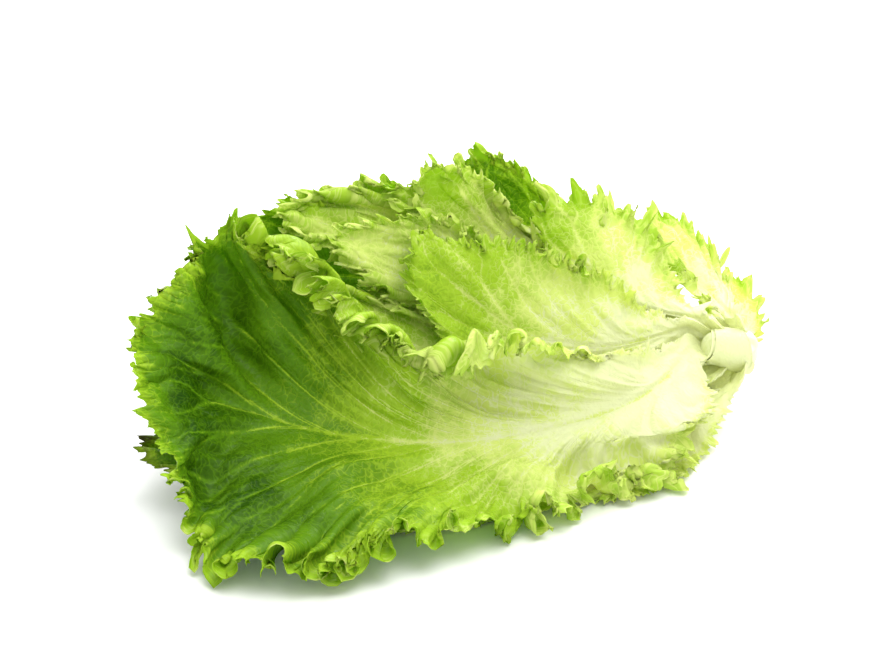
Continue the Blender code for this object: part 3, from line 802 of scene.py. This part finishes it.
def bake_places(columns, rows, foot_rows, rim):
    """The map that the leaf's colours are baked on: a strip for each half of each side of the blade.

    The foot carries each strip on, and the walls between the two sides have a thin strip of their own.
    """
    middle = (columns - 1) // 2
    u = (np.abs(np.arange(columns) - middle) / middle * BAKE_BLADE)[:, None]
    v = (row_places(rows) * BAKE_USED + BAKE_START)[None, :]
    down = (BAKE_BLADE + (BAKE_FOOT - BAKE_BLADE) * np.linspace(0.0, 1.0, foot_rows))[:, None]
    next_strip = [0.0, 1.0]
    near_blade = strip_places(u[: middle + 1], v)
    far_blade = strip_places(u[middle:], v) + next_strip
    near_foot = strip_places(down, v[:, ::-1]).reshape(foot_rows - 1, rows - 1, 4, 2)
    far_foot = strip_places(down, v).reshape(foot_rows - 1, rows - 1, 4, 2) + next_strip
    foot = np.concatenate([near_foot, far_foot], axis=1).reshape(-1, 4, 2)
    front = np.concatenate([near_blade, far_blade, foot])
    back = front[:, ::-1] + [0.0, 2.0]
    edge = np.linspace(0.0, 1.0, rim)
    wall = np.stack([edge[:-1], edge[1:], edge[1:], edge[:-1]], axis=1)
    wall = np.stack([wall, np.broadcast_to(np.repeat(BAKE_WALL, 2), wall.shape)], axis=-1)
    places = np.concatenate([front, back, wall])
    places[..., 1] /= BAKE_HEIGHT
    return places


def new_mesh(name, points, faces, places):
    """A mesh of four-sided faces, with its map for the bake."""
    mesh = bpy.data.meshes.new(name)
    mesh.vertices.add(len(points))
    mesh.vertices.foreach_set("co", points.astype(np.float32).ravel())
    mesh.loops.add(faces.size)
    mesh.loops.foreach_set("vertex_index", faces.astype(np.int32).ravel())
    mesh.polygons.add(len(faces))
    mesh.polygons.foreach_set("loop_start", np.arange(0, faces.size, 4, dtype=np.int32))
    mesh.update(calc_edges=True)
    layer = mesh.uv_layers.new(name="OFBake")
    layer.data.foreach_set("uv", places.astype(np.float32).ravel())
    mesh.validate()
    return mesh


def add_value(mesh, name, kind, values):
    """A value at each vertex, for the material to read."""
    attribute = mesh.attributes.new(name, kind, "POINT")
    field = "vector" if kind == "FLOAT_VECTOR" else "value"
    attribute.data.foreach_set(field, values.astype(np.float32).ravel())


def leaf_mesh(leaf):
    """The leaf's closed mesh, with its rest shape and its values as attributes."""
    front, back, rest, values = finish_leaf(leaf)
    columns, rows = front.shape[:2]
    inner, outer = heel(leaf, front, back)
    used, faces, rim = leaf_faces(columns, rows, len(inner))
    places = bake_places(columns, rows, len(inner), rim)
    feet = [surface[1:].reshape(-1, 3) for surface in (inner, outer)]
    points = np.concatenate([front.reshape(-1, 3)[used], feet[0], back.reshape(-1, 3)[used], feet[1]])
    mesh = new_mesh(leaf.name + "_blade", points + SHIFT, faces, places)
    rest = np.concatenate([rest.reshape(-1, 3)[used], feet[0]])
    add_value(mesh, "rest", "FLOAT_VECTOR", np.tile(rest, (2, 1)))
    for name, grid in values.items():
        whole = np.concatenate([grid.reshape(-1)[used], np.full(len(feet[0]), HEEL_VALUES[name])])
        add_value(mesh, name, "FLOAT", np.tile(whole, 2))
    mesh.shade_smooth()
    return mesh


def stem_circle(count):
    """Directions straight away from the stem's axis, all the way round it."""
    axis = unit(STEM_AXIS)
    side = unit(np.cross(axis, [0.0, 0.0, 1.0]))
    up = np.cross(side, axis)
    turn = np.linspace(0.0, 2 * np.pi, count, endpoint=False)[:, None]
    return side * np.cos(turn) + up * np.sin(turn)


def stem_shift():
    """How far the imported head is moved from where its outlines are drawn."""
    axis = unit(STEM_AXIS)
    ring = stem_circle(STEM_SIDES)
    butt = STEM_TOP + axis * (STEM_LENGTH - STEM_BEVEL) + ring * STEM_BUTT_RADIUS
    end = STEM_TOP + axis * STEM_LENGTH + ring * (STEM_BUTT_RADIUS - STEM_BEVEL)
    top = STEM_TOP + axis * STEM_BEVEL + ring * STEM_TOP_RADIUS
    cap = STEM_TOP + ring * (STEM_TOP_RADIUS - STEM_BEVEL)
    drawn = np.vstack([butt, end, top, cap])
    return np.array(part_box("stem")[0]) - drawn.min(axis=0)


SHIFT = stem_shift()


def stem_mesh():
    """The stem's ridged, closed body, just inside its solid, with a slightly sunken cut."""
    rng = np.random.default_rng(RIDGE_SEED)
    axis = unit(STEM_AXIS)
    ring = stem_circle(STEM_RING)
    turn = np.linspace(0.0, 2 * np.pi, STEM_RING, endpoint=False)
    wrap = np.minimum(turn, 2 * np.pi - turn)
    rings = len(STEM_PROFILE)
    ridges = patches(rng, wrap, RIDGE_ANGLE, np.linspace(0.0, 1.0, rings), RIDGE_COUNT)
    points = []
    for k, (down, share) in enumerate(STEM_PROFILE):
        size = stem_radius(down) * share
        size = size * (FLESH_RADIUS + RIDGE_HEIGHT * ridges[:, k])
        middle = STEM_TOP + axis * (FLESH_START + FLESH_LENGTH * down) * STEM_LENGTH
        points.append(middle + ring * size[:, None])
    points = np.concatenate(points) + SHIFT
    index = np.arange(len(points)).reshape(rings, STEM_RING)
    closed = np.concatenate([index, index[:, :1]], axis=1)
    faces = [tuple(quad) for quad in quads(closed).tolist()]
    faces += [tuple(index[0].tolist()), tuple(index[-1, ::-1].tolist())]
    mesh = bpy.data.meshes.new("stem_flesh")
    mesh.from_pydata(points.tolist(), [], faces)
    mesh.validate()
    mesh.shade_smooth()
    return mesh


# ---- materials

# The colours of a leaf by depth of green, from the pale base to the darkest tip.
GREENS = [
    (0.00, (0.88, 0.91, 0.57)),
    (0.16, (0.78, 0.87, 0.26)),
    (0.40, (0.46, 0.68, 0.035)),
    (0.68, (0.15, 0.34, 0.008)),
    (1.00, (0.028, 0.105, 0.001)),
]
WORN_BROWN = (0.035, 0.018, 0.004)
# The colours of the stem's flesh, and where in its noise each starts.
FLESH = [(0.35, (0.70, 0.76, 0.36)), (0.65, (0.90, 0.93, 0.66))]
# How far the net of small veins is bent, and how much lighter it, the veins and the margin are.
NET_BEND = 0.006
NET_PALE = 0.10
VEIN_PALE = 0.30
MARGIN_PALE = 0.8
# The share of light that shines through a leaf.
GLOW = 0.45


def add_node(tree, kind, **settings):
    """A node of this kind. Settings are its properties, or input values by name with _ for a space."""
    node = tree.nodes.new(kind)
    for name, value in settings.items():
        if hasattr(node, name):
            setattr(node, name, value)
        else:
            node.inputs[name.replace("_", " ")].default_value = value
    return node


def math_node(tree, operation, *values, clamp=False):
    """The output of a maths node on sockets or numbers."""
    node = add_node(tree, "ShaderNodeMath", operation=operation, use_clamp=clamp)
    for socket, value in zip(node.inputs, values):
        if isinstance(value, float):
            socket.default_value = value
        else:
            tree.links.new(value, socket)
    return node.outputs[0]


def remap(tree, value, before, after=(0.0, 1.0), easing="SMOOTHSTEP"):
    """The output of a node that maps the range before onto the range after."""
    node = add_node(tree, "ShaderNodeMapRange", interpolation_type=easing)
    names = ("From Min", "From Max", "To Min", "To Max")
    for name, number in zip(names, (*before, *after), strict=True):
        node.inputs[name].default_value = number
    tree.links.new(value, node.inputs["Value"])
    return node.outputs["Result"]


def noise_node(tree, vector, scale, detail):
    """A noise node on these coordinates."""
    node = add_node(tree, "ShaderNodeTexNoise", Scale=scale, Detail=detail)
    tree.links.new(vector, node.inputs["Vector"])
    return node


def ramp_node(tree, value, stops, easing="LINEAR"):
    """The colour at a value between stops, each a place and a colour."""
    ramp = tree.nodes.new("ShaderNodeValToRGB")
    ramp.color_ramp.interpolation = easing
    elements = ramp.color_ramp.elements
    for k, (place, colour) in enumerate(stops):
        element = elements[k] if k < len(elements) else elements.new(place)
        element.position = place
        element.color = (*colour, 1.0)
    tree.links.new(value, ramp.inputs["Fac"])
    return ramp.outputs["Color"]


def net_of_veins(tree, rest):
    """Each point's distance from a net of small veins, whose lines are bent."""
    bender = noise_node(tree, rest, 260.0, 1.0)
    bend = add_node(tree, "ShaderNodeVectorMath", operation="MULTIPLY_ADD")
    bend.inputs[1].default_value = (NET_BEND, NET_BEND, NET_BEND)
    tree.links.new(bender.outputs["Color"], bend.inputs[0])
    tree.links.new(rest, bend.inputs[2])
    net = add_node(tree, "ShaderNodeTexVoronoi", feature="DISTANCE_TO_EDGE", Scale=330.0)
    tree.links.new(bend.outputs["Vector"], net.inputs["Vector"])
    return net.outputs["Distance"]


def leaf_colour(tree, values, broad, net):
    """Greens by depth of tone, uneven, and paler on the veins, their net and the margin."""
    shade = math_node(tree, "MULTIPLY_ADD", broad, 0.50, -0.26)
    deep = math_node(tree, "ADD", values["tone"], shade)
    edge = math_node(tree, "SUBTRACT", values["margin"], 0.9, clamp=True)
    edge = math_node(tree, "MULTIPLY", edge, MARGIN_PALE, clamp=True)
    deep = math_node(tree, "SUBTRACT", deep, edge)
    thread = remap(tree, net, (0.0, 0.12), (NET_PALE, 0.0))
    deep = math_node(tree, "SUBTRACT", deep, thread)
    pale = math_node(tree, "MULTIPLY", values["vein"], VEIN_PALE)
    deep = math_node(tree, "SUBTRACT", deep, pale, clamp=True)
    return ramp_node(tree, deep, GREENS, "EASE")


def brown_margin(tree, colour, values, broad, wear):
    """The colour, browned along a ragged margin where the leaf is green."""
    ragged = math_node(tree, "MULTIPLY_ADD", broad, 0.5, values["margin"])
    browning = remap(tree, ragged, (1.14, 1.30), (0.0, wear))
    away = remap(tree, values["tone"], (0.25, 0.40), easing="LINEAR")
    worn = math_node(tree, "MULTIPLY", browning, away)
    brown = tree.nodes.new("ShaderNodeMixRGB")
    brown.inputs["Color2"].default_value = (*WORN_BROWN, 1.0)
    tree.links.new(worn, brown.inputs["Fac"])
    tree.links.new(colour, brown.inputs["Color1"])
    return brown.outputs["Color"]


def wet_surface(tree, colour, fine, net):
    """A blistered surface with wet spots that lets some light through."""
    dome = math_node(tree, "MULTIPLY", net, 0.8)
    height = math_node(tree, "MULTIPLY_ADD", fine, 0.15, dome)
    bump = add_node(tree, "ShaderNodeBump", Strength=0.5, Distance=0.0012)
    tree.links.new(height, bump.inputs["Height"])
    shader = add_node(tree, "ShaderNodeBsdfPrincipled")
    tree.links.new(remap(tree, fine, (0.52, 0.62), (0.42, 0.16)), shader.inputs["Roughness"])
    shader.inputs["Specular IOR Level"].default_value = 0.13
    shader.inputs["Coat Weight"].default_value = 0.03
    shader.inputs["Coat Roughness"].default_value = 0.12
    glow = add_node(tree, "ShaderNodeBsdfTranslucent")
    tree.links.new(colour, shader.inputs["Base Color"])
    tree.links.new(colour, glow.inputs["Color"])
    for node in (shader, glow):
        tree.links.new(bump.outputs["Normal"], node.inputs["Normal"])
    mix = add_node(tree, "ShaderNodeMixShader", Fac=GLOW)
    tree.links.new(shader.outputs[0], mix.inputs[1])
    tree.links.new(glow.outputs[0], mix.inputs[2])
    return mix.outputs[0]


def leaf_material(leaf):
    """A wet leaf: greens by depth of tone, pale veins and margin, blisters, and light that shines through."""
    material = bpy.data.materials.new(leaf.name + "_surface")
    material.use_nodes = True
    tree = material.node_tree
    tree.nodes.clear()
    rest = add_node(tree, "ShaderNodeAttribute", attribute_name="rest").outputs["Vector"]
    values = {}
    for name in HEEL_VALUES:
        values[name] = add_node(tree, "ShaderNodeAttribute", attribute_name=name).outputs["Fac"]
    broad = noise_node(tree, rest, 70.0, 3.0).outputs["Fac"]
    fine = noise_node(tree, rest, 900.0, 2.0).outputs["Fac"]
    net = net_of_veins(tree, rest)
    colour = leaf_colour(tree, values, broad, net)
    if leaf.wear > 0.0:
        colour = brown_margin(tree, colour, values, broad, leaf.wear)
    output = tree.nodes.new("ShaderNodeOutputMaterial")
    tree.links.new(wet_surface(tree, colour, fine, net), output.inputs["Surface"])
    return material


def stem_material():
    """Pale, moist stem."""
    material = bpy.data.materials.new("stem_flesh")
    material.use_nodes = True
    tree = material.node_tree
    shader = tree.nodes["Principled BSDF"]
    coordinates = add_node(tree, "ShaderNodeTexCoord").outputs["Object"]
    noise = noise_node(tree, coordinates, 220.0, 4.0)
    colour = ramp_node(tree, noise.outputs["Fac"], FLESH)
    tree.links.new(colour, shader.inputs["Base Color"])
    shader.inputs["Roughness"].default_value = 0.4
    return material


# ---- pieces


def add_piece(mesh, material, node):
    """One finished piece, named as its mesh is, in place of a solid."""
    mesh.materials.append(material)
    piece = bpy.data.objects.new(mesh.name, mesh)
    bpy.context.scene.collection.objects.link(piece)
    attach(piece, "root")
    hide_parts(node)


# ---- stage, light and camera

# The camera's place, in degrees and metres, and how far up and left of the drawn origin it aims.
VIEW_AZIMUTH = -22.0
VIEW_ELEVATION = 24.0
VIEW_DISTANCE = 0.90
VIEW_RISE = 0.0636
VIEW_LEFT = 0.0025
# How many of the picture's pixels a metre takes up where the camera aims.
VIEW_SCALE = 2422.0
IMAGE_WIDTH = 872
SENSOR = 36.0
FLOOR_REACH = 6.0
FLOOR_WHITE = (0.95, 0.95, 0.95, 1.0)


def add_camera():
    """The camera looks down on the head from beyond its tips, on the open side."""
    a, e = np.radians(VIEW_AZIMUTH), np.radians(VIEW_ELEVATION)
    back = np.array([np.sin(a) * np.cos(e), -np.cos(a) * np.cos(e), np.sin(e)])
    right = np.array([np.cos(a), np.sin(a), 0.0])
    up = np.cross(back, right)
    aim = SHIFT + up * VIEW_RISE - right * VIEW_LEFT
    data = bpy.data.cameras.new("camera")
    data.sensor_width = SENSOR
    data.lens = VIEW_SCALE * VIEW_DISTANCE * SENSOR / IMAGE_WIDTH
    camera = bpy.data.objects.new("camera", data)
    matrix = Matrix(np.stack([right, up, back], axis=1).tolist()).to_4x4()
    matrix.translation = Vector((aim + back * VIEW_DISTANCE).tolist())
    camera.matrix_world = matrix
    bpy.context.scene.collection.objects.link(camera)
    bpy.context.scene.camera = camera


def add_light(name, place, target, size, power):
    """A soft, white, square light that faces the target."""
    data = bpy.data.lights.new(name, "AREA")
    data.size = size
    data.energy = power
    light = bpy.data.objects.new(name, data)
    light.location = place
    light.rotation_euler = (Vector(target) - Vector(place)).to_track_quat("-Z", "Y").to_euler()
    bpy.context.scene.collection.objects.link(light)


def add_floor():
    """A plain white floor."""
    mesh = bpy.data.meshes.new("floor")
    corners = [(x * FLOOR_REACH, y * FLOOR_REACH, 0.0) for x, y in ((-1, -1), (1, -1), (1, 1), (-1, 1))]
    mesh.from_pydata(corners, [], [(0, 1, 2, 3)])
    floor = bpy.data.objects.new("floor", mesh)
    bpy.context.scene.collection.objects.link(floor)
    material = bpy.data.materials.new("floor_white")
    material.use_nodes = True
    shader = material.node_tree.nodes["Principled BSDF"]
    shader.inputs["Base Color"].default_value = FLOOR_WHITE
    shader.inputs["Roughness"].default_value = 0.6
    mesh.materials.append(material)


def add_surroundings():
    """White surroundings and two soft studio lights."""
    world = bpy.data.worlds.new("world")
    bpy.context.scene.world = world
    world.use_nodes = True
    background = world.node_tree.nodes["Background"]
    background.inputs["Color"].default_value = (1.0, 1.0, 1.0, 1.0)
    background.inputs["Strength"].default_value = 1.0
    add_light("back_light", place=(0.8, 0.8, 0.9), target=(0.05, 0.02, 0.04), size=1.2, power=25.0)
    add_light("key_light", place=(0.1, -0.3, 1.3), target=(0.0, 0.0, 0.04), size=1.0, power=13.0)
    bpy.context.scene.view_settings.view_transform = "Standard"


def main():
    for leaf in LEAVES:
        add_piece(leaf_mesh(leaf), leaf_material(leaf), leaf.name)
    add_piece(stem_mesh(), stem_material(), "stem")
    add_floor()
    add_surroundings()
    add_camera()


main()
